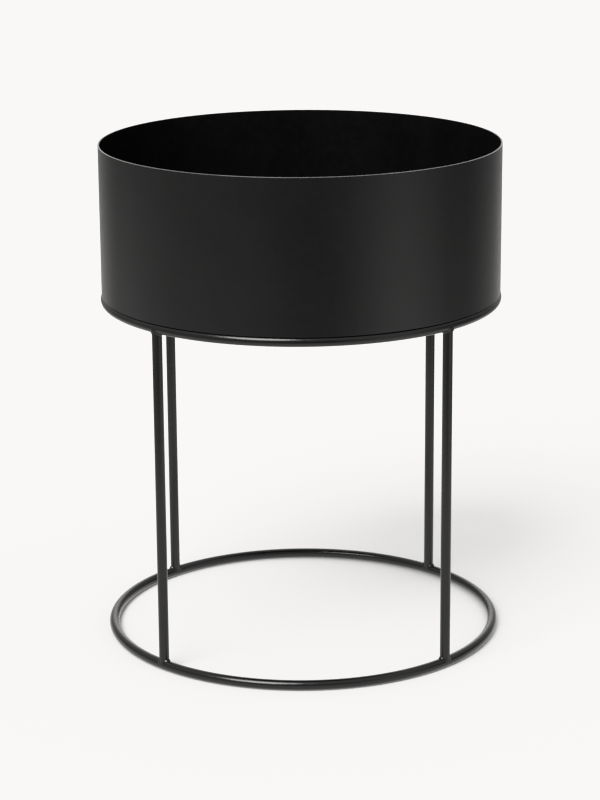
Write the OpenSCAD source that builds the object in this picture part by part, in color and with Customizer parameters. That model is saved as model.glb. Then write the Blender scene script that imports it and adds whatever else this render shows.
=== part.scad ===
// Round planter on a wire stand: a rolled sheet-steel drum, open at the top, screwed down
// on a welded stand of two round-bar rings joined by four upright bars.
// The origin is on the floor, at the middle of the base ring. +Z is up and -Y is the front.

/* [Stand] */
// Outside diameter of the top ring and of the base ring
ring_od = 400; // [250:1:600]
// Height of the stand, floor to the top of the upper ring
stand_h = 350.5; // [200:0.5:700]
// Diameter of the round bar of the rings and legs
bar_d = 10; // [8:0.5:14]
// Angle of the first leg from +X, with the others at right angles to it
leg_angle = 45; // [30:1:60]
// How far each coped leg end stops short of the ring's centre line
cope_toe = 1; // [0.5:0.1:2]
// Radius of each weld bead in the corner of a leg and a ring
bead_r = 2.2; // [1.5:0.1:3]

/* [Drum] */
// Height of the drum
drum_h = 149.5; // [80:0.5:300]
// How far the top ring stands out past the drum wall
ring_reveal = 1; // [0.5:0.1:3]
// Thickness of the rolled wall sheet
wall_t = 1.5; // [1:0.1:3]
// Chamfer on both edges of the rim
rim_break = 0.4; // [0.1:0.05:0.4]
// Width of the butt gap that the wall's seam weld fills
seam_w = 2; // [1:0.1:4]
// Thickness of the floor disc
floor_t = 1.5; // [1:0.1:3]
// Radial clearance between the floor disc and the wall
floor_fit = 0.25; // [0.1:0.05:0.5]
// Leg length of the fillet weld around the floor, inside the drum
fillet_leg = 2.5; // [1.5:0.1:4]

/* [Fixing tabs] */
// Width of each flat tab on the inside of the top ring
tab_w = 25; // [18:1:40]
// Thickness of the tabs
tab_t = 3; // [2:0.5:4]
// Length of a tab past its screw, towards the drum's axis
tab_end = 12; // [9:0.5:18]
// Corner cut on the inner end of a tab
tab_corner = 6; // [2:0.5:7]
// Height of the square edge where a tab lands on the ring
tab_land = 1; // [0.5:0.1:1.5]
// Distance from the ring's centre line in to the screws
screw_inset = 21; // [18:0.5:40]
// Leg length of the fillet weld under each tab
tab_weld_leg = 2.5; // [1.5:0.1:3]
// How far each tab weld stops short of the tab's sides
tab_weld_end = 3.5; // [1:0.5:6]

/* [Fasteners] */
// Nominal diameter of the screws
screw_d = 6; // [5:1:6]
// Length of a screw under its head
screw_len = 16; // [15:1:25]
// Diameter of a button head
head_d = 10.5; // [9.5:0.1:12]
// Height of a button head
head_h = 3.3; // [3:0.1:4]
// Height of the straight edge of a button head
head_edge = 0.6; // [0.3:0.1:1]
// Hex socket in the head, across flats
socket_af = 4; // [3:0.5:4]
// Depth of the hex socket
socket_deep = 2.2; // [1.5:0.1:2.4]
// Clearance on diameter of the screw holes in the floor and tabs
hole_clear = 0.6; // [0.4:0.1:1]
// Clearance on diameter between a nut and its screw, with the threads left plain
thread_clear = 0.1; // [0.05:0.05:0.2]
// Clearance on diameter of both sorts of washer on a screw
washer_clear = 0.4; // [0.2:0.1:0.6]
// Outside diameter of a rubber sealing washer
seal_od = 14; // [12:0.5:18]
// Thickness of a rubber sealing washer
seal_t = 1.5; // [1:0.1:2]
// Outside diameter of a steel washer
washer_od = 12; // [11.5:0.5:18]
// Thickness of a steel washer
washer_t = 1.6; // [1:0.1:2]
// Nut size across flats
nut_af = 10; // [8:1:10]
// Height of a nut
nut_h = 5; // [4:0.5:5]

/* [Hidden] */
$fn = 96;
EPS = 1; // how far a cutter runs past the face it cuts

bar_r = bar_d / 2;
ring_r = ring_od / 2 - bar_r;
base_z = bar_r;
top_z = stand_h - bar_r;

drum_r = ring_od / 2 - ring_reveal;
inner_r = drum_r - wall_t;
floor_top = stand_h + floor_t;
rim_z = stand_h + drum_h;

hole_d = screw_d + hole_clear;
screw_r = ring_r - screw_inset;
head_z = floor_top + seal_t;
tab_z = stand_h - tab_t;
tab_in_r = screw_r - tab_end;
tab_out_r = ring_r - sqrt(pow(bar_r, 2) - pow(bar_r - tab_land, 2));
nut_z = tab_z - washer_t - nut_h;

SIDES = [0, 90, 180, 270]; // the four fixings: right, back, left and front
LEGS = [for (k = [0:3]) leg_angle + 90 * k]; // back right, back left, front left, front right

// ---- shapes that several pieces share ----

// One ring of round bar, centred at height z
module bar_ring(z) {
    translate([0, 0, z]) rotate_extrude() translate([ring_r, 0]) circle(r = bar_r);
}

// Children once at each of the given angles about the drum's axis
module around(angles) {
    for (a = angles) rotate([0, 0, a]) children();
}

// A flat ring: a washer, or any disc with one hole
module washer(od, id, t) {
    difference() {
        cylinder(d = od, h = t);
        translate([0, 0, -EPS]) cylinder(d = id, h = t + 2 * EPS);
    }
}

// The whole rolled band, before its butt gap is opened
module wall_band() {
    rotate_extrude() polygon([
        [inner_r, stand_h], [drum_r, stand_h],
        [drum_r, rim_z - rim_break], [drum_r - rim_break, rim_z],
        [inner_r + rim_break, rim_z], [inner_r, rim_z - rim_break]]);
}

// The butt gap at the back of the wall
module seam_slot() {
    translate([-seam_w / 2, inner_r - wall_t, stand_h - EPS])
        cube([seam_w, 3 * wall_t, drum_h + 2 * EPS]);
}

// ---- drum ----

module drum_wall() {
    color([0.11, 0.11, 0.12]) difference() {
        wall_band();
        seam_slot();
    }
}

module wall_seam_weld() {
    color([0.13, 0.13, 0.14]) intersection() {
        wall_band();
        seam_slot();
    }
}

module drum_floor() {
    color([0.10, 0.10, 0.11]) difference() {
        translate([0, 0, stand_h]) cylinder(r = inner_r - floor_fit, h = floor_t);
        around(SIDES) translate([screw_r, 0, stand_h - EPS])
            cylinder(d = hole_d, h = floor_t + 2 * EPS);
    }
}

module floor_weld() {
    color([0.12, 0.12, 0.13]) rotate_extrude() polygon([
        [inner_r, floor_top], [inner_r, floor_top + fillet_leg], [inner_r - fillet_leg, floor_top]]);
}

// ---- stand ----

module top_ring() {
    color([0.11, 0.11, 0.12]) bar_ring(top_z);
}

module base_ring() {
    color([0.11, 0.11, 0.12]) bar_ring(base_z);
}

// The round bar of the upright at the given angle, before its ends are coped
module leg_bar(angle) {
    rotate([0, 0, angle]) translate([ring_r, 0, base_z + cope_toe])
        cylinder(r = bar_r, h = top_z - base_z - 2 * cope_toe);
}

// An upright, coped at both ends to sit on the rings
module leg(angle) {
    color([0.12, 0.12, 0.13]) difference() {
        leg_bar(angle);
        bar_ring(base_z);
        bar_ring(top_z);
    }
}

module leg_back_right() { leg(LEGS[0]); }
module leg_back_left() { leg(LEGS[1]); }
module leg_front_left() { leg(LEGS[2]); }
module leg_front_right() { leg(LEGS[3]); }

// A bead in the corner of a leg and the ring below it, with the ring's centre at height 0.
// The ball's poles and seam are turned into the metal, so that its open face is one clean patch.
module leg_bead() {
    difference() {
        translate([ring_r, bar_r, bar_r]) rotate([-135, 0, 0]) rotate([0, 0, 90]) sphere(r = bead_r);
        translate([ring_r, 0, cope_toe]) cylinder(r = bar_r, h = top_z);
        bar_ring(0);
    }
}

// The beads on both sides of every leg at one ring, upside down where the ring is above the legs
module leg_beads(ring_z, over) {
    color([0.13, 0.13, 0.14]) translate([0, 0, ring_z]) around(LEGS)
        for (side = [0, 1]) mirror([0, side, 0]) mirror([0, 0, over]) leg_bead();
}

module leg_welds_top() { leg_beads(top_z, 1); }
module leg_welds_base() { leg_beads(base_z, 0); }

// ---- fixing tabs ----

// A drilled tab at the given angle, its outer end fitted to the inside of the top ring
module tab(angle) {
    color([0.12, 0.12, 0.13]) difference() {
        rotate([0, 0, angle]) translate([0, 0, tab_z]) linear_extrude(tab_t) polygon([
            [tab_out_r, -tab_w / 2], [tab_out_r, tab_w / 2],
            [tab_in_r + tab_corner, tab_w / 2], [tab_in_r, tab_w / 2 - tab_corner],
            [tab_in_r, tab_corner - tab_w / 2], [tab_in_r + tab_corner, -tab_w / 2]]);
        rotate([0, 0, angle]) translate([screw_r, 0, tab_z - EPS])
            cylinder(d = hole_d, h = tab_t + 2 * EPS);
        bar_ring(top_z);
    }
}

module tab_right() { tab(SIDES[0]); }
module tab_back() { tab(SIDES[1]); }
module tab_left() { tab(SIDES[2]); }
module tab_front() { tab(SIDES[3]); }

// Radius of the inner side of the top ring at height z
function ring_inside(z) = ring_r - sqrt(pow(bar_r, 2) - pow(z - top_z, 2));

// A fillet under each tab, between its lower face and the ring
module tab_welds() {
    low_z = tab_z - tab_weld_leg;
    weld_w = tab_w - 2 * tab_weld_end;
    color([0.13, 0.13, 0.14]) around(SIDES) difference() {
        intersection() {
            rotate_extrude() polygon([
                [ring_r, tab_z], [ring_inside(tab_z) - tab_weld_leg, tab_z],
                [ring_inside(low_z), low_z], [ring_r, low_z]]);
            translate([0, -weld_w / 2, low_z - EPS]) cube([ring_od, weld_w, tab_weld_leg + 2 * EPS]);
        }
        bar_ring(top_z);
    }
}

// ---- fasteners, one set at each tab ----

// A button-head screw with its seat at height 0 and its shank pointing down
module button_screw() {
    cap_h = head_h - head_edge;
    cap_r = (pow(cap_h, 2) + pow(head_d / 2, 2)) / (2 * cap_h);
    difference() {
        union() {
            intersection() {
                cylinder(d = head_d, h = head_h);
                translate([0, 0, head_h - cap_r]) sphere(r = cap_r);
            }
            translate([0, 0, -screw_len]) cylinder(d = screw_d, h = screw_len + head_edge / 2);
        }
        translate([0, 0, head_h - socket_deep])
            cylinder(d = socket_af / cos(30), h = socket_deep + EPS, $fn = 6);
    }
}

module fixing_screws() {
    color([0.16, 0.16, 0.17]) around(SIDES) translate([screw_r, 0, head_z]) button_screw();
}

module sealing_washers() {
    color([0.07, 0.07, 0.07]) around(SIDES) translate([screw_r, 0, floor_top])
        washer(seal_od, screw_d + washer_clear, seal_t);
}

module steel_washers() {
    color([0.66, 0.67, 0.68]) around(SIDES) translate([screw_r, 0, tab_z - washer_t])
        washer(washer_od, screw_d + washer_clear, washer_t);
}

module fixing_nuts() {
    color([0.62, 0.63, 0.65]) around(SIDES) translate([screw_r, 0, nut_z]) difference() {
        cylinder(d = nut_af / cos(30), h = nut_h, $fn = 6);
        translate([0, 0, -EPS]) cylinder(d = screw_d + thread_clear, h = nut_h + 2 * EPS);
    }
}

drum_wall();
wall_seam_weld();
drum_floor();
floor_weld();
top_ring();
base_ring();
leg_back_right();
leg_back_left();
leg_front_left();
leg_front_right();
leg_welds_top();
leg_welds_base();
tab_right();
tab_back();
tab_left();
tab_front();
tab_welds();
fixing_screws();
sealing_washers();
steel_washers();
fixing_nuts();
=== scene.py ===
import bpy
import math
from mathutils import Matrix, Vector


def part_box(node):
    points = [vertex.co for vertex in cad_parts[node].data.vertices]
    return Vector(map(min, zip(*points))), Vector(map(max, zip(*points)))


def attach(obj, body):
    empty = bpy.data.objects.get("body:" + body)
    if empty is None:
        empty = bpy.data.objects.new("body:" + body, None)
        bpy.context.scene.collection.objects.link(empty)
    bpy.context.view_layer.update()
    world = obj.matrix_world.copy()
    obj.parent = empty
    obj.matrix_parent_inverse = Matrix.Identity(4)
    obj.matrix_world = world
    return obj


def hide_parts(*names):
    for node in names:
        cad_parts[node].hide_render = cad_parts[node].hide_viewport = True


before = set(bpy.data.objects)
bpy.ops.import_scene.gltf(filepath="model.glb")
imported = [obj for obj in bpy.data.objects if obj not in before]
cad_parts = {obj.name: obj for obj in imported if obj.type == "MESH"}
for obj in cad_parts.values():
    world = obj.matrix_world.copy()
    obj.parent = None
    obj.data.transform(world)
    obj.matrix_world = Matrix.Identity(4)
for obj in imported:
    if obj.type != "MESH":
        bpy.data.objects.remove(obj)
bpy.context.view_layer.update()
print("CAD frame loaded,", len(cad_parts), "nodes")

# camera

cameraView = {
    "place": (-0.0184, -2.433, 0.9114),   # metres
    "heading": 0.39,                      # degrees, to the right
    "tiltDown": 15.526,
    "roll": -0.40,
    "lens": 112.25,
}


def placeCamera(view):
    heading = math.radians(view["heading"])
    tilt = math.radians(view["tiltDown"])
    roll = math.radians(view["roll"])
    forward = math.cos(tilt)
    ahead = Vector((math.sin(heading) * forward, math.cos(heading) * forward, -math.sin(tilt)))
    level = Vector((math.cos(heading), -math.sin(heading), 0.0))
    above = level.cross(ahead)
    right = level * math.cos(roll) + above * math.sin(roll)
    up = above * math.cos(roll) - level * math.sin(roll)
    bpy.ops.object.camera_add()
    camera = bpy.context.object
    camera.name = "standCamera"
    turn = Matrix((right, up, -ahead)).transposed().to_4x4()
    camera.matrix_world = Matrix.Translation(Vector(view["place"])) @ turn
    camera.data.lens = view["lens"]
    camera.data.clip_end = 200.0
    bpy.context.scene.camera = camera


placeCamera(cameraView)
print("camera placed")

# working helpers

samePoint = 0.000002   # metres, points closer than this are merged


def clearSelection():
    active = bpy.context.view_layer.objects.active
    if active is not None and active.mode != "OBJECT":
        bpy.ops.object.mode_set(mode="OBJECT")
    bpy.ops.object.select_all(action="DESELECT")


def pick(piece):
    clearSelection()
    piece.select_set(True)
    bpy.context.view_layer.objects.active = piece


def settle(piece):
    # place, turn and scale go into the mesh
    pick(piece)
    bpy.ops.object.transform_apply(location=True, rotation=True, scale=True)


def editMode(piece):
    pick(piece)
    bpy.ops.object.mode_set(mode="EDIT")


def objectMode():
    bpy.ops.object.mode_set(mode="OBJECT")


def selectVerts(piece, test):
    # leaves edit mode on, with only the tested vertices selected
    editMode(piece)
    bpy.ops.mesh.select_mode(type="VERT")
    bpy.ops.mesh.select_all(action="DESELECT")
    objectMode()
    for vertex in piece.data.vertices:
        vertex.select = test(vertex.co)
    bpy.ops.object.mode_set(mode="EDIT")


def selectEdges(piece, test):
    editMode(piece)
    bpy.ops.mesh.select_mode(type="EDGE")
    bpy.ops.mesh.select_all(action="DESELECT")
    objectMode()
    points = piece.data.vertices
    for edge in piece.data.edges:
        edge.select = test(points[edge.vertices[0]].co, points[edge.vertices[1]].co)
    bpy.ops.object.mode_set(mode="EDIT")


def drawOutline(name, corners, closed=True):
    # one vertex at the first corner, then extruded from corner to corner in the XZ plane
    # each corner is (radius, height, rounding, segments of the rounding)
    first = corners[0]
    clearSelection()
    bpy.ops.mesh.primitive_plane_add(size=0.001, location=(first[0], 0.0, first[1]))
    piece = bpy.context.object
    piece.name = name
    settle(piece)
    editMode(piece)
    bpy.ops.mesh.select_mode(type="VERT")
    bpy.ops.mesh.select_all(action="SELECT")
    bpy.ops.mesh.merge(type="CENTER")
    here = first
    route = corners[1:] + [first] if closed else corners[1:]
    for corner in route:
        step = (corner[0] - here[0], 0.0, corner[1] - here[1])
        bpy.ops.mesh.extrude_region_move(TRANSFORM_OT_translate={"value": step})
        here = corner
    bpy.ops.mesh.select_all(action="SELECT")
    bpy.ops.mesh.remove_doubles(threshold=samePoint)
    for corner in corners:
        if corner[2] > 0:
            spot = Vector((corner[0], 0.0, corner[1]))
            selectVerts(piece, lambda co: (co - spot).length < 0.00001)
            bpy.ops.mesh.bevel(offset=corner[2], segments=corner[3], affect="VERTICES")
    objectMode()
    return piece


def spinAround(piece, steps, angle=2 * math.pi, capped=False):
    editMode(piece)
    bpy.ops.mesh.select_all(action="SELECT")
    if capped:
        bpy.ops.mesh.edge_face_add()
    bpy.ops.mesh.spin(steps=steps, angle=angle, center=(0, 0, 0), axis=(0, 0, 1))
    bpy.ops.mesh.select_all(action="SELECT")
    bpy.ops.mesh.remove_doubles(threshold=samePoint)
    bpy.ops.mesh.normals_make_consistent(inside=False)
    objectMode()


def applyAll(piece):
    pick(piece)
    for modifier in list(piece.modifiers):
        bpy.ops.object.modifier_apply(modifier=modifier.name)


def cutAway(piece, cutter, operation="DIFFERENCE"):
    modifier = piece.modifiers.new("cut", "BOOLEAN")
    modifier.operation = operation
    modifier.object = cutter
    modifier.solver = "EXACT"
    applyAll(piece)
    bpy.data.objects.remove(cutter)


def breakEdges(piece, width, segments, angle=30):
    modifier = piece.modifiers.new("break", "BEVEL")
    modifier.width = width
    modifier.segments = segments
    modifier.limit_method = "ANGLE"
    modifier.angle_limit = math.radians(angle)
    applyAll(piece)


def roughen(piece, size, depth):
    # uneven by up to half the depth either way, read in world space so that every copy differs
    texture = bpy.data.textures.new(piece.name + "Uneven", "CLOUDS")
    texture.noise_scale = size
    texture.noise_depth = 1
    modifier = piece.modifiers.new("uneven", "DISPLACE")
    modifier.texture = texture
    modifier.texture_coords = "GLOBAL"
    modifier.strength = depth
    modifier.mid_level = 0.5
    applyAll(piece)


def copyTurned(piece, name, turn):
    double = piece.copy()
    double.data = piece.data.copy()
    double.name = name
    bpy.context.scene.collection.objects.link(double)
    double.data.transform(turn)
    if turn.determinant() < 0:
        editMode(double)
        bpy.ops.mesh.select_all(action="SELECT")
        bpy.ops.mesh.normals_make_consistent(inside=False)
        objectMode()
    return double


def joinAll(pieces, name):
    clearSelection()
    for piece in pieces:
        piece.select_set(True)
    bpy.context.view_layer.objects.active = pieces[0]
    bpy.ops.object.join()
    pieces[0].name = name
    return pieces[0]


def handOver(piece, material, slotName, *nodes, smoothTo=35):
    piece.data.materials.clear()
    piece.data.materials.append(material)
    pick(piece)
    bpy.ops.object.shade_smooth_by_angle(angle=math.radians(smoothTo))
    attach(piece, "root")
    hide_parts(*nodes)
    print("made", piece.name)


def turnedZ(degrees):
    return Matrix.Rotation(math.radians(degrees), 4, "Z")


# finishes


def startMaterial(name):
    material = bpy.data.materials.new(name)
    material.use_nodes = True
    nodes = material.node_tree.nodes
    nodes.clear()
    output = nodes.new("ShaderNodeOutputMaterial")
    surface = nodes.new("ShaderNodeBsdfPrincipled")
    material.node_tree.links.new(surface.outputs["BSDF"], output.inputs["Surface"])
    coordinates = nodes.new("ShaderNodeTexCoord")
    return material, surface, coordinates.outputs["Object"]


def noiseNode(material, where, scale, detail=2.0, roughness=0.5, distortion=0.0):
    node = material.node_tree.nodes.new("ShaderNodeTexNoise")
    node.inputs["Scale"].default_value = scale
    node.inputs["Detail"].default_value = detail
    node.inputs["Roughness"].default_value = roughness
    node.inputs["Distortion"].default_value = distortion
    material.node_tree.links.new(where, node.inputs["Vector"])
    return node.outputs["Fac"]


def rangeNode(material, value, fromLow, fromHigh, toLow, toHigh):
    node = material.node_tree.nodes.new("ShaderNodeMapRange")
    node.inputs["From Min"].default_value = fromLow
    node.inputs["From Max"].default_value = fromHigh
    node.inputs["To Min"].default_value = toLow
    node.inputs["To Max"].default_value = toHigh
    material.node_tree.links.new(value, node.inputs["Value"])
    return node.outputs["Result"]


def colourRamp(material, value, stops):
    node = material.node_tree.nodes.new("ShaderNodeValToRGB")
    ramp = node.color_ramp
    ramp.elements[0].position = stops[0][0]
    ramp.elements[0].color = stops[0][1] + (1.0,)
    ramp.elements[1].position = stops[-1][0]
    ramp.elements[1].color = stops[-1][1] + (1.0,)
    for stop in stops[1:-1]:
        element = ramp.elements.new(stop[0])
        element.color = stop[1] + (1.0,)
    material.node_tree.links.new(value, node.inputs["Fac"])
    return node.outputs["Color"]


def bumpNode(material, height, distance, strength=1.0, after=None):
    node = material.node_tree.nodes.new("ShaderNodeBump")
    node.inputs["Strength"].default_value = strength
    node.inputs["Distance"].default_value = distance
    material.node_tree.links.new(height, node.inputs["Height"])
    if after is not None:
        material.node_tree.links.new(after, node.inputs["Normal"])
    return node.outputs["Normal"]


# satin black powder coat: a sprayed film with orange peel, a fine grain and a few dust nibs
powderCoat = {
    "dark": (0.0016, 0.0016, 0.0017),
    "light": (0.0030, 0.0030, 0.0030),
    "patchScale": 22.0,
    "glossLow": 0.20,
    "glossHigh": 0.27,
    "peelScale": 260.0,
    "peelDepth": 0.00006,
    "grainScale": 1150.0,
    "grainDepth": 0.000026,
    "nibScale": 75.0,
    "nibSize": 0.030,
    "nibTone": 0.030,
    "nibDepth": 0.00004,
}


def makePowderCoat(name, values):
    material, surface, where = startMaterial(name)
    links = material.node_tree.links
    patches = noiseNode(material, where, values["patchScale"], 4.0, 0.6)
    tone = colourRamp(material, patches, [(0.3, values["dark"]), (0.7, values["light"])])
    dots = material.node_tree.nodes.new("ShaderNodeTexVoronoi")
    dots.inputs["Scale"].default_value = values["nibScale"]
    dots.inputs["Randomness"].default_value = 1.0
    links.new(where, dots.inputs["Vector"])
    nibs = rangeNode(material, dots.outputs["Distance"], 0.0, values["nibSize"], 1.0, 0.0)
    mix = material.node_tree.nodes.new("ShaderNodeMix")
    mix.data_type = "RGBA"
    links.new(nibs, mix.inputs["Factor"])
    links.new(tone, mix.inputs["A"])
    mix.inputs["B"].default_value = (values["nibTone"],) * 3 + (1.0,)
    links.new(mix.outputs["Result"], surface.inputs["Base Color"])
    gloss = noiseNode(material, where, values["patchScale"] * 6.0, 3.0, 0.55)
    roughness = rangeNode(material, gloss, 0.3, 0.7, values["glossLow"], values["glossHigh"])
    links.new(roughness, surface.inputs["Roughness"])
    peel = noiseNode(material, where, values["peelScale"], 2.0, 0.45)
    peelNormal = bumpNode(material, peel, values["peelDepth"])
    grain = noiseNode(material, where, values["grainScale"], 2.0, 0.6)
    grainNormal = bumpNode(material, grain, values["grainDepth"], 1.0, peelNormal)
    nibNormal = bumpNode(material, nibs, values["nibDepth"], 1.0, grainNormal)
    links.new(nibNormal, surface.inputs["Normal"])
    surface.inputs["IOR"].default_value = 1.5
    return material


drumCoat = makePowderCoat("satinBlackDrumCoat", powderCoat)

standCoatValues = dict(powderCoat)
standCoatValues["peelScale"] = 170.0
standCoatValues["peelDepth"] = 0.00011
standCoatValues["glossLow"] = 0.15
standCoatValues["glossHigh"] = 0.22
standCoat = makePowderCoat("satinBlackStandCoat", standCoatValues)

# oiled black oxide on the screws
blackOxide = {"dark": (0.035, 0.036, 0.040), "light": (0.085, 0.087, 0.094), "scale": 420.0}


def makeBlackOxide(values):
    material, surface, where = startMaterial("oiledBlackOxide")
    links = material.node_tree.links
    bloom = noiseNode(material, where, values["scale"], 4.0, 0.6, 0.4)
    tone = colourRamp(material, bloom, [(0.35, values["dark"]), (0.7, values["light"])])
    links.new(tone, surface.inputs["Base Color"])
    links.new(rangeNode(material, bloom, 0.3, 0.7, 0.28, 0.45), surface.inputs["Roughness"])
    grit = noiseNode(material, where, 3200.0, 2.0, 0.6)
    links.new(bumpNode(material, grit, 0.000006), surface.inputs["Normal"])
    surface.inputs["Metallic"].default_value = 0.85
    return material


screwOxide = makeBlackOxide(blackOxide)

# bright zinc with a thin blue and straw passivation
zincPlate = {"blue": (0.56, 0.60, 0.68), "straw": (0.70, 0.67, 0.58), "plain": (0.66, 0.67, 0.69)}


def makeZinc(values):
    material, surface, where = startMaterial("passivatedZinc")
    links = material.node_tree.links
    film = noiseNode(material, where, 240.0, 3.0, 0.55, 0.6)
    stops = [(0.3, values["blue"]), (0.5, values["plain"]), (0.72, values["straw"])]
    links.new(colourRamp(material, film, stops), surface.inputs["Base Color"])
    spangle = noiseNode(material, where, 1500.0, 3.0, 0.6)
    links.new(rangeNode(material, spangle, 0.3, 0.7, 0.24, 0.42), surface.inputs["Roughness"])
    links.new(bumpNode(material, spangle, 0.000008), surface.inputs["Normal"])
    surface.inputs["Metallic"].default_value = 1.0
    return material


zinc = makeZinc(zincPlate)

# matt moulded rubber
sealRubber = {"dark": (0.013, 0.013, 0.013), "bloom": (0.030, 0.029, 0.028)}


def makeRubber(values):
    material, surface, where = startMaterial("matSealRubber")
    links = material.node_tree.links
    dust = noiseNode(material, where, 380.0, 5.0, 0.7)
    tone = colourRamp(material, dust, [(0.4, values["dark"]), (0.75, values["bloom"])])
    links.new(tone, surface.inputs["Base Color"])
    links.new(rangeNode(material, dust, 0.3, 0.7, 0.68, 0.86), surface.inputs["Roughness"])
    pores = noiseNode(material, where, 2600.0, 2.0, 0.6)
    links.new(bumpNode(material, pores, 0.000015), surface.inputs["Normal"])
    surface.inputs["IOR"].default_value = 1.52
    return material


rubber = makeRubber(sealRubber)
print("finishes made")

# drum

drumWallSizes = {
    "rimRounding": 0.00022,
    "footRounding": 0.00015,
    "courses": 14,           # rows of faces up the wall
    "edgeRow": 0.0007,       # narrow first and last rows keep the flat of the wall true
    "aroundSteps": 256,
    "rollWave": 0.00020,     # how far the rolled sheet strays
    "rollWaveLength": 0.11,
}


def buildDrumWall(sizes):
    low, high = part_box("drum_wall")
    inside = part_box("floor_weld")[1].x
    outside = high.x
    bottom = low.z + sizes["edgeRow"]
    top = high.z - sizes["edgeRow"]
    corners = [(outside, low.z, sizes["footRounding"], 4)]
    for row in range(sizes["courses"] + 1):
        corners.append((outside, bottom + (top - bottom) * row / sizes["courses"], 0.0, 1))
    corners.append((outside, high.z, sizes["rimRounding"], 5))
    for corner in reversed(corners[:]):
        corners.append((inside,) + corner[1:])
    wall = drawOutline("drumWall", corners)
    spinAround(wall, sizes["aroundSteps"])
    roughen(wall, sizes["rollWaveLength"], sizes["rollWave"])
    for vertex in wall.data.vertices:
        vertex.co.z = min(max(vertex.co.z, low.z), high.z)
    handOver(wall, drumCoat, "drum_coat", "drum_wall", smoothTo=50)
    return inside, outside


drumInside, drumOutside = buildDrumWall(drumWallSizes)

# the butt weld that closes the rolled sheet, ground nearly flush
seamSizes = {
    "proud": 0.00005, "overlap": 0.0006, "edgeSink": 0.00006,
    "endGap": 0.0010,        # height left free in all, at the rim and the foot
    "ripplePitch": 0.0021, "rippleShare": 0.25,
    "rows": 220, "columns": 8, "body": 0.0003,
    "uneven": 0.00006, "unevenLength": 0.004,
}


def buildWallSeam(sizes):
    low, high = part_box("wall_seam_weld")
    halfWidth = (high.x - low.x) / 2 + sizes["overlap"]
    middle = (low.z + high.z) / 2
    tall = high.z - low.z - sizes["endGap"]
    strips = []
    for face in (1, -1):
        radius = drumOutside if face > 0 else drumInside
        clearSelection()
        bpy.ops.mesh.primitive_grid_add(
            x_subdivisions=sizes["columns"], y_subdivisions=sizes["rows"], size=1.0)
        strip = bpy.context.object
        for vertex in strip.data.vertices:
            across = vertex.co.x * 2                       # -1 to 1
            height = middle + vertex.co.y * tall
            crown = sizes["proud"] * (1 - across ** 2) - sizes["edgeSink"] * across ** 4
            phase = height * 2 * math.pi / sizes["ripplePitch"] + 1.1 * across ** 2
            ripple = 1.0 + sizes["rippleShare"] * math.sin(phase)
            angle = math.pi / 2 - across * halfWidth / radius
            reach = radius + face * crown * ripple
            vertex.co = (reach * math.cos(angle), reach * math.sin(angle), height)
        modifier = strip.modifiers.new("body", "SOLIDIFY")
        modifier.thickness = sizes["body"]
        modifier.offset = -1.0 if face > 0 else 1.0
        applyAll(strip)
        editMode(strip)
        bpy.ops.mesh.select_all(action="SELECT")
        bpy.ops.mesh.normals_make_consistent(inside=False)
        objectMode()
        strips.append(strip)
    seam = joinAll(strips, "wallSeamWeld")
    roughen(seam, sizes["unevenLength"], sizes["uneven"])
    handOver(seam, drumCoat, "drum_coat", "wall_seam_weld", smoothTo=60)


buildWallSeam(seamSizes)

drumFloorSizes = {"aroundSteps": 192, "holeAcross": 0.0066, "holeSides": 48, "edgeBreak": 0.00015}


# the four screws stand on one circle, a quarter turn apart
screwHeadAcross = 0.0105
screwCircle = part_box("fixing_screws")[1].x - screwHeadAcross / 2


def buildDrumFloor(sizes):
    low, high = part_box("drum_floor")
    clearSelection()
    bpy.ops.mesh.primitive_circle_add(
        vertices=sizes["aroundSteps"], radius=high.x, fill_type="NGON", location=(0, 0, low.z))
    floor = bpy.context.object
    floor.name = "drumFloor"
    settle(floor)
    editMode(floor)
    bpy.ops.mesh.select_all(action="SELECT")
    bpy.ops.mesh.extrude_region_move(TRANSFORM_OT_translate={"value": (0, 0, high.z - low.z)})
    bpy.ops.mesh.select_all(action="SELECT")
    bpy.ops.mesh.normals_make_consistent(inside=False)
    objectMode()
    drills = []
    for quarter in range(4):
        place = turnedZ(90 * quarter) @ Vector((screwCircle, 0, (low.z + high.z) / 2))
        clearSelection()
        bpy.ops.mesh.primitive_cylinder_add(
            vertices=sizes["holeSides"], radius=sizes["holeAcross"] / 2, depth=0.01, location=place)
        drills.append(bpy.context.object)
    cutAway(floor, joinAll(drills, "floorDrills"))
    breakEdges(floor, sizes["edgeBreak"], 2)
    handOver(floor, drumCoat, "drum_coat", "drum_floor", smoothTo=12)


buildDrumFloor(drumFloorSizes)

floorWeldSizes = {
    "aroundSteps": 1440, "ripplePitch": 0.0031, "rippleDepth": 0.00016, "bulge": 0.00030,
    "bury": 0.0004,          # how far it runs on into the wall and the floor
}


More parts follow.
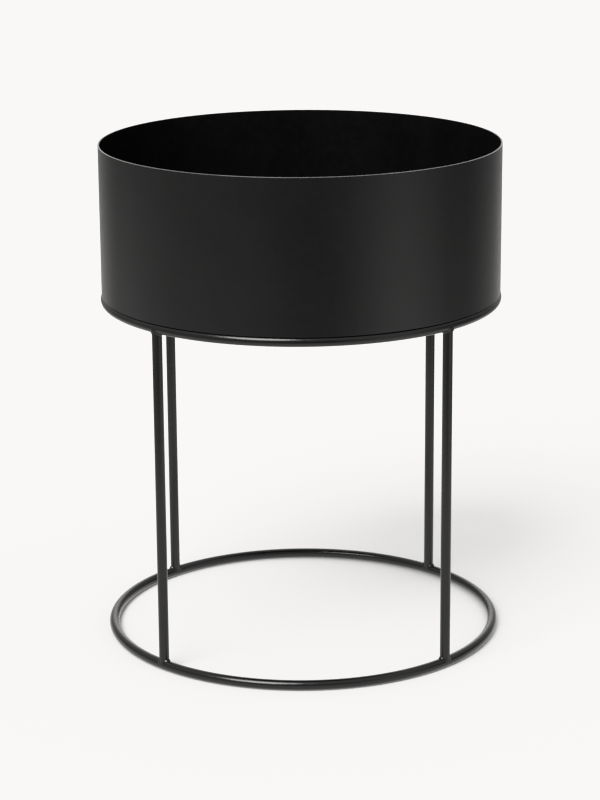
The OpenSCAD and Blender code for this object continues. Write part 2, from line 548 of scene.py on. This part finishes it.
def buildFloorWeld(sizes):
    # fillet in the corner between floor and wall, stacked-coin ripples run round it
    low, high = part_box("floor_weld")
    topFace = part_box("drum_floor")[1].z
    leg = high.z - topFace
    outer = high.x
    bury = sizes["bury"]
    corners = [
        (outer + bury, topFace - bury, 0.0, 1),
        (outer + bury, topFace + leg - 0.0001, 0.0, 1),
        (outer - leg * 0.02, topFace + leg - 0.00012, 0.0, 1),
        (outer - leg * 0.20, topFace + leg * 0.73, 0.0, 1),
        (outer - leg * 0.42, topFace + leg * 0.47, 0.0, 1),
        (outer - leg * 0.70, topFace + leg * 0.21, 0.0, 1),
        (outer - leg * 0.98, topFace + leg * 0.02, 0.0, 1),
        (outer - leg * 0.98, topFace - bury, 0.0, 1),
    ]
    weld = drawOutline("floorWeld", corners)
    spinAround(weld, sizes["aroundSteps"])
    for vertex in weld.data.vertices:
        radius = math.hypot(vertex.co.x, vertex.co.y)
        reach = min(max((outer - radius) / leg, 0.0), 1.0)
        lift = math.sin(math.pi * reach)
        if vertex.co.z < topFace or radius > outer:
            continue
        angle = math.atan2(vertex.co.y, vertex.co.x)
        along = angle * outer / sizes["ripplePitch"] + 0.35 * math.sin(7 * angle)
        phase = along + 0.55 * (reach - 0.5) ** 2
        coin = abs(math.sin(math.pi * phase))
        push = lift * (sizes["bulge"] * 0.4 + sizes["rippleDepth"] * (coin - 0.6))
        scale = 1 - push / radius
        vertex.co.x *= scale
        vertex.co.y *= scale
        vertex.co.z += push
    handOver(weld, drumCoat, "drum_coat", "floor_weld", smoothTo=60)


buildFloorWeld(floorWeldSizes)
print("drum made")

# stand

ringSizes = {"barSides": 40, "aroundSteps": 360}


def buildRing(name, node, sizes):
    low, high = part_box(node)
    bar = (high.z - low.z) / 2
    centre = high.x - bar
    clearSelection()
    bpy.ops.mesh.primitive_circle_add(
        vertices=sizes["barSides"], radius=bar, location=(centre, 0, (low.z + high.z) / 2),
        rotation=(math.pi / 2, 0, 0))
    ring = bpy.context.object
    ring.name = name
    settle(ring)
    spinAround(ring, sizes["aroundSteps"])
    handOver(ring, standCoat, "stand_coat", node, smoothTo=60)
    return centre, bar, (low.z + high.z) / 2


ringRadius, barRadius, topHeight = buildRing("topRing", "top_ring", ringSizes)
baseHeight = buildRing("baseRing", "base_ring", ringSizes)[2]

legSizes = {"sides": 64, "toe": 0.0003, "sink": 0.0001, "rows": 24}

legCorners = {
    "leg_back_right": ("legBackRight", 45),
    "leg_back_left": ("legBackLeft", 135),
    "leg_front_left": ("legFrontLeft", 225),
    "leg_front_right": ("legFrontRight", 315),
}


def buildLeg(sizes):
    # stands at the ring's +X side, its ends coped to sit on the round of the ring
    clearSelection()
    bpy.ops.mesh.primitive_cylinder_add(
        vertices=sizes["sides"], radius=barRadius, depth=topHeight - baseHeight,
        end_fill_type="TRIFAN", location=(ringRadius, 0, (topHeight + baseHeight) / 2))
    leg = bpy.context.object
    leg.name = "legPattern"
    settle(leg)
    for edge in (baseHeight, topHeight):
        inward = 1 if edge == baseHeight else -1
        for vertex in leg.data.vertices:
            if abs(vertex.co.z - edge) < 0.00001:
                aside = vertex.co.x - ringRadius
                saddle = math.sqrt(max(barRadius ** 2 - aside ** 2, 0.0)) - sizes["sink"]
                vertex.co.z = edge + inward * max(saddle, sizes["toe"])
    selectEdges(leg, lambda a, b: abs(a.z - b.z) > 0.1)
    bpy.ops.mesh.subdivide(number_cuts=sizes["rows"])
    objectMode()
    return leg


legPattern = buildLeg(legSizes)
for node, (name, angle) in legCorners.items():
    leg = copyTurned(legPattern, name, turnedZ(angle))
    handOver(leg, standCoat, "stand_coat", node, smoothTo=50)
bpy.data.objects.remove(legPattern)

legWeldSizes = {
    "leg": 0.0018,           # weld size each way from the corner
    "taper": 0.55,           # how quickly it thins towards the front and back of the leg
    "bulge": 0.09,
    "ripples": 15,
    "rippleDepth": 0.05,
    "bury": 0.00025,
    "body": 0.0004,
    "along": 60,
    "across": 12,
    "uneven": 0.00045,
    "unevenLength": 0.0022,
}


def buildLegWeld(sizes):
    # one side of one joint: leg upright through the origin, ring along Y, corner towards +Y and +Z
    clearSelection()
    bpy.ops.mesh.primitive_grid_add(
        x_subdivisions=sizes["along"], y_subdivisions=sizes["across"], size=1.0)
    bead = bpy.context.object
    bead.name = "legWeldPattern"
    for vertex in bead.data.vertices:
        around = math.pi * (0.04 + 0.92 * (vertex.co.x + 0.5))
        across = vertex.co.y + 0.5
        side = math.sin(around)
        size = sizes["leg"] * side ** sizes["taper"]
        ripple = 1 + sizes["rippleDepth"] * math.sin(2 * math.pi * sizes["ripples"] * (vertex.co.x + 0.5))
        swell = sizes["bulge"] * 4 * across * (1 - across) * ripple * size
        outward = barRadius * side + size * across + swell
        upward = barRadius * side + size * (1 - across) + swell
        if across < 0.01:
            outward -= sizes["bury"]
        if across > 0.99:
            upward -= sizes["bury"]
        sideways = barRadius * math.cos(around) - outward ** 2 / (2 * ringRadius)
        vertex.co = (sideways, outward, upward)
    modifier = bead.modifiers.new("body", "SOLIDIFY")
    modifier.thickness = sizes["body"]
    modifier.offset = -1.0
    applyAll(bead)
    editMode(bead)
    bpy.ops.mesh.select_all(action="SELECT")
    bpy.ops.mesh.normals_make_consistent(inside=False)
    objectMode()
    return bead


legWeldPattern = buildLegWeld(legWeldSizes)
for name, node, height, over in (("legWeldsTop", "leg_welds_top", topHeight, -1),
                                 ("legWeldsBase", "leg_welds_base", baseHeight, 1)):
    beads = []
    for leg, angle in legCorners.values():
        for side in (1, -1):
            flip = Matrix.Diagonal((1, side, over, 1))
            move = Matrix.Translation(Vector((ringRadius, 0, height)))
            beads.append(copyTurned(legWeldPattern, name + leg, turnedZ(angle) @ move @ flip))
    welds = joinAll(beads, name)
    roughen(welds, legWeldSizes["unevenLength"], legWeldSizes["uneven"])
    handOver(welds, standCoat, "stand_coat", node, smoothTo=60)
bpy.data.objects.remove(legWeldPattern)
print("stand made")

# tabs

tabSizes = {"cornerCut": 0.006, "edgeBreak": 0.0003, "holeAcross": 0.0066, "holeSides": 48}

tabCorners = {"tab_right": ("tabRight", 0), "tab_back": ("tabBack", 90),
              "tab_left": ("tabLeft", 180), "tab_front": ("tabFront", 270)}


def buildTab(sizes):
    low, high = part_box("tab_right")
    clearSelection()
    bpy.ops.mesh.primitive_cube_add(size=1.0, location=(low + high) / 2, scale=high - low)
    tab = bpy.context.object
    tab.name = "tabPattern"
    settle(tab)
    selectEdges(tab, lambda a, b: abs(a.z - b.z) > 0.001 and max(a.x, b.x) < low.x + 0.001)
    bpy.ops.mesh.bevel(offset=sizes["cornerCut"], segments=1, affect="EDGES")
    objectMode()
    clearSelection()
    bpy.ops.mesh.primitive_cylinder_add(
        vertices=sizes["holeSides"], radius=sizes["holeAcross"] / 2, depth=0.02,
        location=(screwCircle, 0, (low.z + high.z) / 2))
    cutAway(tab, bpy.context.object)
    breakEdges(tab, sizes["edgeBreak"], 2)
    return tab


tabPattern = buildTab(tabSizes)
for node, (name, angle) in tabCorners.items():
    tab = copyTurned(tabPattern, name, turnedZ(angle))
    handOver(tab, standCoat, "stand_coat", node, smoothTo=12)
bpy.data.objects.remove(tabPattern)

tabWeldSizes = {"wide": 0.018, "steps": 64, "uneven": 0.0004, "unevenLength": 0.0028}


def buildTabWelds(sizes):
    # fillet under the tab, between it and the inside of the top ring
    low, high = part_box("tab_welds")
    under = high.z
    innerToe = ringRadius - 0.0071
    corners = [
        (innerToe, under - 0.0002, 0.0, 1),
        (innerToe + 0.0006, under + 0.0003, 0.0, 1),
        (ringRadius - 0.0040, under + 0.0003, 0.0, 1),
        (ringRadius - 0.0043, low.z + 0.0001, 0.0, 1),
        (ringRadius - 0.0050, low.z, 0.0, 1),
        (ringRadius - 0.0056, low.z + 0.0008, 0.0, 1),
        (ringRadius - 0.0063, low.z + 0.0016, 0.0, 1),
    ]
    spread = sizes["wide"] / ringRadius
    weld = drawOutline("tabWeldPattern", corners)
    spinAround(weld, sizes["steps"], spread, capped=True)
    aside = sum(vertex.co.y for vertex in weld.data.vertices) / len(weld.data.vertices)
    weld.data.transform(turnedZ(-math.degrees(math.asin(aside / ringRadius))))
    welds = []
    for name, angle in tabCorners.values():
        welds.append(copyTurned(weld, name + "Weld", turnedZ(angle)))
    bpy.data.objects.remove(weld)
    row = joinAll(welds, "tabWelds")
    roughen(row, sizes["unevenLength"], sizes["uneven"])
    handOver(row, standCoat, "stand_coat", "tab_welds", smoothTo=60)


buildTabWelds(tabWeldSizes)
print("tabs made")

# fixings, each modelled at the origin of its own axis and copied to the four screws


def toTheScrews(pattern, name):
    copies = []
    for quarter in range(4):
        # each fixing was tightened to a different angle
        place = turnedZ(90 * quarter) @ Matrix.Translation(Vector((screwCircle, 0, 0)))
        copies.append(copyTurned(pattern, name + str(quarter), place @ turnedZ(23 * quarter)))
    bpy.data.objects.remove(pattern)
    return joinAll(copies, name)


screwSizes = {
    "headAcross": screwHeadAcross, "headHigh": 0.0033, "headEdge": 0.0006,
    "keyAcross": 0.0040, "keyDeep": 0.0022,
    "thread": 0.0060, "root": 0.00485, "pitch": 0.0010, "pointChamfer": 0.0006,
    "threadStart": 0.0004, "threadSink": 0.0002, "runOut": 0.0011,
    "aroundSteps": 64, "shankSteps": 48, "threadSteps": 40,
}


def buildScrew(sizes):
    low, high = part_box("fixing_screws")
    seat = high.z - sizes["headHigh"]
    head = sizes["headAcross"] / 2
    dome = sizes["headHigh"] - sizes["headEdge"]
    screw = drawOutline("screwPattern", [
        (0.0, seat + 0.0003, 0.0, 1),
        (head - 0.0001, seat, 0.0, 1),
        (head, seat + 0.0001, 0.0, 1),
        (head, high.z, dome, 10),
        (0.0, high.z, 0.0, 1),
    ], closed=False)
    spinAround(screw, sizes["aroundSteps"])
    clearSelection()
    bpy.ops.mesh.primitive_cylinder_add(
        vertices=6, radius=sizes["keyAcross"] / math.sqrt(3), depth=sizes["keyDeep"] * 2,
        location=(0, 0, high.z), rotation=(0, 0, math.radians(11)))
    cutAway(screw, bpy.context.object)
    breakEdges(screw, 0.0001, 2, 40)
    # shank: plain core with the thread wound round it
    root = sizes["root"] / 2
    core = drawOutline("screwCore", [
        (0.0, low.z, 0.0, 1),
        (root - sizes["pointChamfer"] / 2, low.z, 0.0, 1),
        (root, low.z + sizes["pointChamfer"] / 2, 0.0, 1),
        (root, seat + 0.001, 0.0, 1),
        (0.0, seat + 0.001, 0.0, 1),
    ], closed=False)
    spinAround(core, sizes["shankSteps"])
    crest = sizes["thread"] / 2
    pitch = sizes["pitch"]
    turns = int((seat - low.z) / pitch) - 1
    start = low.z + sizes["threadStart"]
    foot = root - sizes["threadSink"]
    helix = drawOutline("screwThread", [
        (foot, start, 0.0, 1),
        (crest, start + pitch * 0.44, 0.0, 1),
        (crest, start + pitch * 0.56, 0.0, 1),
        (foot, start + pitch * 0.98, 0.0, 1),
    ])
    winding = helix.modifiers.new("winding", "SCREW")
    winding.axis = "Z"
    winding.screw_offset = pitch
    winding.iterations = turns
    winding.steps = sizes["threadSteps"]
    winding.render_steps = sizes["threadSteps"]
    winding.use_merge_vertices = False
    applyAll(helix)
    # the thread runs out at the point, and its two ends are closed
    for vertex in helix.data.vertices:
        rise = vertex.co.z - low.z
        radius = math.hypot(vertex.co.x, vertex.co.y)
        limit = root - 0.0001 + min(rise / sizes["runOut"], 1.0) * (crest - root + 0.0001)
        if radius > limit:
            vertex.co.x *= limit / radius
            vertex.co.y *= limit / radius
    editMode(helix)
    bpy.ops.mesh.select_all(action="DESELECT")
    bpy.ops.mesh.select_mode(type="EDGE")
    bpy.ops.mesh.select_non_manifold(extend=False)
    bpy.ops.mesh.edge_face_add()
    bpy.ops.mesh.select_all(action="SELECT")
    bpy.ops.mesh.normals_make_consistent(inside=False)
    objectMode()
    return joinAll([screw, core, helix], "screwPattern")


screws = toTheScrews(buildScrew(screwSizes), "fixingScrews")
handOver(screws, screwOxide, "black_oxide", "fixing_screws", smoothTo=20)

washerSizes = {
    "sealAcross": 0.0140, "sealBore": 0.0064, "sealBulge": 0.0004,
    "steelAcross": 0.0120, "steelBore": 0.0064, "steelBreak": 0.00025, "aroundSteps": 64,
}


def buildSeals(sizes):
    low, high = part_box("sealing_washers")
    outer = sizes["sealAcross"] / 2
    bore = sizes["sealBore"] / 2
    seal = drawOutline("sealPattern", [
        (bore, low.z, 0.0, 1),
        (outer - sizes["sealBulge"], low.z, 0.0, 1),
        (outer, low.z + 0.0004, 0.0003, 3),
        (outer, high.z - 0.0004, 0.0003, 3),
        (outer - sizes["sealBulge"], high.z, 0.0, 1),
        (bore, high.z, 0.0002, 2),
    ])
    spinAround(seal, sizes["aroundSteps"])
    return seal


seals = toTheScrews(buildSeals(washerSizes), "sealingWashers")
handOver(seals, rubber, "seal_rubber", "sealing_washers")


def buildSteelWashers(sizes):
    low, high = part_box("steel_washers")
    washer = drawOutline("washerPattern", [
        (sizes["steelBore"] / 2, low.z, 0.0001, 1),
        (sizes["steelAcross"] / 2, low.z, sizes["steelBreak"], 3),
        (sizes["steelAcross"] / 2, high.z, 0.0001, 1),
        (sizes["steelBore"] / 2, high.z, sizes["steelBreak"], 3),
    ])
    spinAround(washer, sizes["aroundSteps"])
    return washer


washers = toTheScrews(buildSteelWashers(washerSizes), "steelWashers")
handOver(washers, zinc, "zinc_plate", "steel_washers", smoothTo=15)

nutSizes = {
    "flats": 0.010, "bore": 0.0061, "mouth": 0.0004, "edgeBreak": 0.00008, "aroundSteps": 72,
    "faceShare": 0.96,       # width of the flat end face, as a share of the flats
    "slope": 0.577,          # fall of the corner chamfer
}


def buildNut(sizes):
    low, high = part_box("fixing_nuts")
    flats = sizes["flats"] / 2
    face = flats * sizes["faceShare"]
    points = flats / math.cos(math.radians(30))
    reach = points + 0.0004
    fall = (reach - face) * sizes["slope"]
    bore = sizes["bore"] / 2
    turned = drawOutline("nutPattern", [
        (bore, low.z + sizes["mouth"], 0.0, 1),
        (bore + sizes["mouth"], low.z, 0.0, 1),
        (face, low.z, 0.0, 1),
        (reach, low.z + fall, 0.0, 1),
        (reach, high.z - fall, 0.0, 1),
        (face, high.z, 0.0, 1),
        (bore + sizes["mouth"], high.z, 0.0, 1),
        (bore, high.z - sizes["mouth"], 0.0, 1),
    ])
    spinAround(turned, sizes["aroundSteps"])
    clearSelection()
    bpy.ops.mesh.primitive_cylinder_add(
        vertices=6, radius=points, depth=0.02, location=(0, 0, (low.z + high.z) / 2))
    cutAway(turned, bpy.context.object, "INTERSECT")
    breakEdges(turned, sizes["edgeBreak"], 1, 40)
    editMode(turned)
    bpy.ops.mesh.select_mode(type="VERT")
    bpy.ops.mesh.select_all(action="SELECT")
    bpy.ops.mesh.remove_doubles(threshold=0.000005)
    objectMode()
    return turned


nuts = toTheScrews(buildNut(nutSizes), "fixingNuts")
handOver(nuts, zinc, "zinc_plate", "fixing_nuts", smoothTo=28)
print("fixings made")

# floor, light and room

studio = {
    "paper": (0.9473, 0.9387, 0.9216),   # tint of the pale paper at its brightest
    "backdrop": 1.33,                    # brightness behind everything
    "floorAcross": 160.0,
    "floorWhite": 0.55,                  # how strongly the floor takes the key light
    # floorGlow and shelter: the floor glows by itself in place of soft light from all round, and that
    # glow is dimmed near the stand as painted shade
    "floorGlow": 0.50,                   # soft light from all round, dimmed near the stand
    "shelter": 1.3,                      # how deep that dimming goes
    "shelterReach": 1.5,
    "keyFrom": (-0.34, -0.53, 0.785),
    "keyStrength": 2.8,
    "keyWidth": 34.0,                    # degrees across
    "sideFrom": (-0.44, -0.68, 0.60),    # lies only on matt surfaces
    "sideStrength": 1.7,
    "sideWidth": 38.0,
    # what the coat mirrors: brightness of the room at each turn from the front, in degrees
    "room": [(-90, 0.42), (-59, 0.38), (-29, 0.33), (0, 0.22), (15, 0.21), (23, 0.28), (35, 0.43),
             (47, 0.62), (59, 0.66), (73, 0.48), (88, 0.27), (105, 0.21), (130, 0.26), (158, 0.45),
             (170, 1.00), (180, 1.60), (190, 1.00), (202, 0.40), (234, 0.28), (255, 0.40), (270, 0.42)],
    # nearFloor and farDim set the floor's own glow as the coat mirrors it: a painted pool of light close
    # round the stand, dimming far off
    "nearFloor": 0.85,                   # lit paper close round the stand
    "nearReach": (0.60, 1.15),
    "farDim": (1.3, 3.2, 1.22, 0.68),    # the paper's brightness drops between these distances
    "ceiling": 0.60,                     # brightness overhead
    "ceilingFrom": (0.25, 0.75),         # height in the sky where the walls give way to it
    "shoulder": [(0.0, 0.0), (0.70, 0.71), (0.86, 0.840), (1.0, 0.893), (1.15, 0.923), (1.30, 0.9473)],
}


def roomAround(tree, where, stops):
    # a ramp wound round the upright axis
    turn = tree.nodes.new("ShaderNodeTexGradient")
    turn.gradient_type = "RADIAL"
    tree.links.new(where, turn.inputs["Vector"])
    ramp = tree.nodes.new("ShaderNodeValToRGB")
    ramp.color_ramp.interpolation = "EASE"
    elements = ramp.color_ramp.elements
    elements[0].position = 0.0
    elements[0].color = (stops[0][1],) * 3 + (1.0,)
    elements[1].position = 1.0
    elements[1].color = (stops[-1][1],) * 3 + (1.0,)
    for degrees, level in stops[1:-1]:
        element = elements.new(0.25 + degrees / 360)
        element.color = (level,) * 3 + (1.0,)
    tree.links.new(turn.outputs["Fac"], ramp.inputs["Fac"])
    return ramp.outputs["Color"]


def fade(tree, value, start, end, first, last):
    node = tree.nodes.new("ShaderNodeMapRange")
    node.interpolation_type = "SMOOTHSTEP"
    node.inputs["From Min"].default_value = start
    node.inputs["From Max"].default_value = end
    node.inputs["To Min"].default_value = first
    node.inputs["To Max"].default_value = last
    tree.links.new(value, node.inputs["Value"])
    return node.outputs["Result"]


def buildSoftbox(name, direction, strength, width, mirrored=True):
    toward = Vector(direction).normalized()
    clearSelection()
    bpy.ops.object.light_add(type="SUN", location=toward * 3)
    box = bpy.context.object
    box.name = name
    box.rotation_euler = toward.to_track_quat("Z", "Y").to_euler()
    box.data.energy = strength
    box.data.angle = math.radians(width)
    box.visible_glossy = mirrored


def buildRoom(values):
    world = bpy.data.worlds.new("studioRoom")
    bpy.context.scene.world = world
    world.use_nodes = True
    tree = world.node_tree
    nodes = tree.nodes
    links = tree.links
    nodes.clear()
    output = nodes.new("ShaderNodeOutputWorld")
    mix = nodes.new("ShaderNodeMixShader")
    seen = nodes.new("ShaderNodeBackground")
    mirrored = nodes.new("ShaderNodeBackground")
    path = nodes.new("ShaderNodeLightPath")
    coordinates = nodes.new("ShaderNodeTexCoord")
    where = coordinates.outputs["Generated"]
    axes = nodes.new("ShaderNodeSeparateXYZ")
    links.new(where, axes.inputs["Vector"])
    overhead = nodes.new("ShaderNodeMix")
    overhead.data_type = "RGBA"
    start, end = values["ceilingFrom"]
    links.new(fade(tree, axes.outputs["Z"], start, end, 0.0, 1.0), overhead.inputs["Factor"])
    links.new(roomAround(tree, where, values["room"]), overhead.inputs["A"])
    overhead.inputs["B"].default_value = (values["ceiling"],) * 3 + (1.0,)
    links.new(overhead.outputs["Result"], mirrored.inputs["Color"])
    seen.inputs["Color"].default_value = (values["backdrop"],) * 3 + (1.0,)
    links.new(path.outputs["Is Camera Ray"], mix.inputs["Fac"])
    links.new(mirrored.outputs["Background"], mix.inputs[1])
    links.new(seen.outputs["Background"], mix.inputs[2])
    links.new(mix.outputs["Shader"], output.inputs["Surface"])


def buildFloor(values):
    clearSelection()
    bpy.ops.mesh.primitive_plane_add(size=values["floorAcross"], location=(0, 0, 0))
    floor = bpy.context.object
    floor.name = "studioFloor"
    material = bpy.data.materials.new("paleFloor")
    material.use_nodes = True
    tree = material.node_tree
    nodes = tree.nodes
    links = tree.links
    nodes.clear()
    output = nodes.new("ShaderNodeOutputMaterial")
    mix = nodes.new("ShaderNodeMixShader")
    both = nodes.new("ShaderNodeAddShader")
    matt = nodes.new("ShaderNodeBsdfDiffuse")
    glow = nodes.new("ShaderNodeEmission")
    mirrored = nodes.new("ShaderNodeEmission")
    path = nodes.new("ShaderNodeLightPath")
    coordinates = nodes.new("ShaderNodeTexCoord")
    where = coordinates.outputs["Object"]
    matt.inputs["Color"].default_value = (values["floorWhite"],) * 3 + (1.0,)
    # painted light and shade: the floor's own glow stands in for soft light from all round, and ambient
    # occlusion dims it near the stand as painted shade
    shelter = nodes.new("ShaderNodeAmbientOcclusion")
    shelter.samples = 12
    shelter.inputs["Distance"].default_value = values["shelterReach"]
    deeper = nodes.new("ShaderNodeMath")
    deeper.operation = "POWER"
    deeper.inputs[1].default_value = values["shelter"]
    links.new(shelter.outputs["AO"], deeper.inputs[0])
    dimmed = nodes.new("ShaderNodeMath")
    dimmed.operation = "MULTIPLY"
    dimmed.inputs[1].default_value = values["floorGlow"]
    links.new(deeper.outputs["Value"], dimmed.inputs[0])
    links.new(dimmed.outputs["Value"], glow.inputs["Strength"])
    # painted light: what the coat mirrors off the floor is the floor's own glow, a painted pool of light
    # close round the stand that fades to a dimmer room ramp far off
    distance = nodes.new("ShaderNodeVectorMath")
    distance.operation = "LENGTH"
    links.new(where, distance.inputs[0])
    near = fade(tree, distance.outputs["Value"], *values["nearReach"], 0.0, 1.0)
    blend = nodes.new("ShaderNodeMix")
    blend.data_type = "RGBA"
    blend.inputs["A"].default_value = (values["nearFloor"],) * 3 + (1.0,)
    dim = nodes.new("ShaderNodeVectorMath")
    dim.operation = "SCALE"
    links.new(roomAround(tree, where, values["room"]), dim.inputs[0])
    links.new(fade(tree, distance.outputs["Value"], *values["farDim"]), dim.inputs["Scale"])
    links.new(dim.outputs["Vector"], blend.inputs["B"])
    links.new(near, blend.inputs["Factor"])
    links.new(blend.outputs["Result"], mirrored.inputs["Color"])
    links.new(glow.outputs["Emission"], both.inputs[0])
    links.new(matt.outputs["BSDF"], both.inputs[1])
    links.new(path.outputs["Is Camera Ray"], mix.inputs["Fac"])
    links.new(mirrored.outputs["Emission"], mix.inputs[1])
    links.new(both.outputs["Shader"], mix.inputs[2])
    links.new(mix.outputs["Shader"], output.inputs["Surface"])
    material.cycles.emission_sampling = "NONE"
    floor.data.materials.append(material)


def burnOutPaper(values):
    # the shoulder of the exposure: shadows on the paper stay faint and its whites level out
    settings = bpy.context.scene.view_settings
    settings.view_transform = "Standard"
    settings.use_curve_mapping = True
    mapping = settings.curve_mapping
    mapping.use_clip = False
    mapping.extend = "HORIZONTAL"
    top = values["paper"][0]
    for channel in range(3):
        tint = values["paper"][channel] / top
        curve = mapping.curves[channel]
        steps = values["shoulder"]
        curve.points[0].location = steps[0]
        curve.points[1].location = (steps[-1][0], steps[-1][1] * tint)
        for step in steps[1:-1]:
            curve.points.new(step[0], step[1] * tint)
    mapping.update()


buildSoftbox("keySoftbox", studio["keyFrom"], studio["keyStrength"], studio["keyWidth"])
buildSoftbox("sideSoftbox", studio["sideFrom"], studio["sideStrength"], studio["sideWidth"], False)
buildRoom(studio)
buildFloor(studio)
burnOutPaper(studio)
print("studio made")

clearSelection()
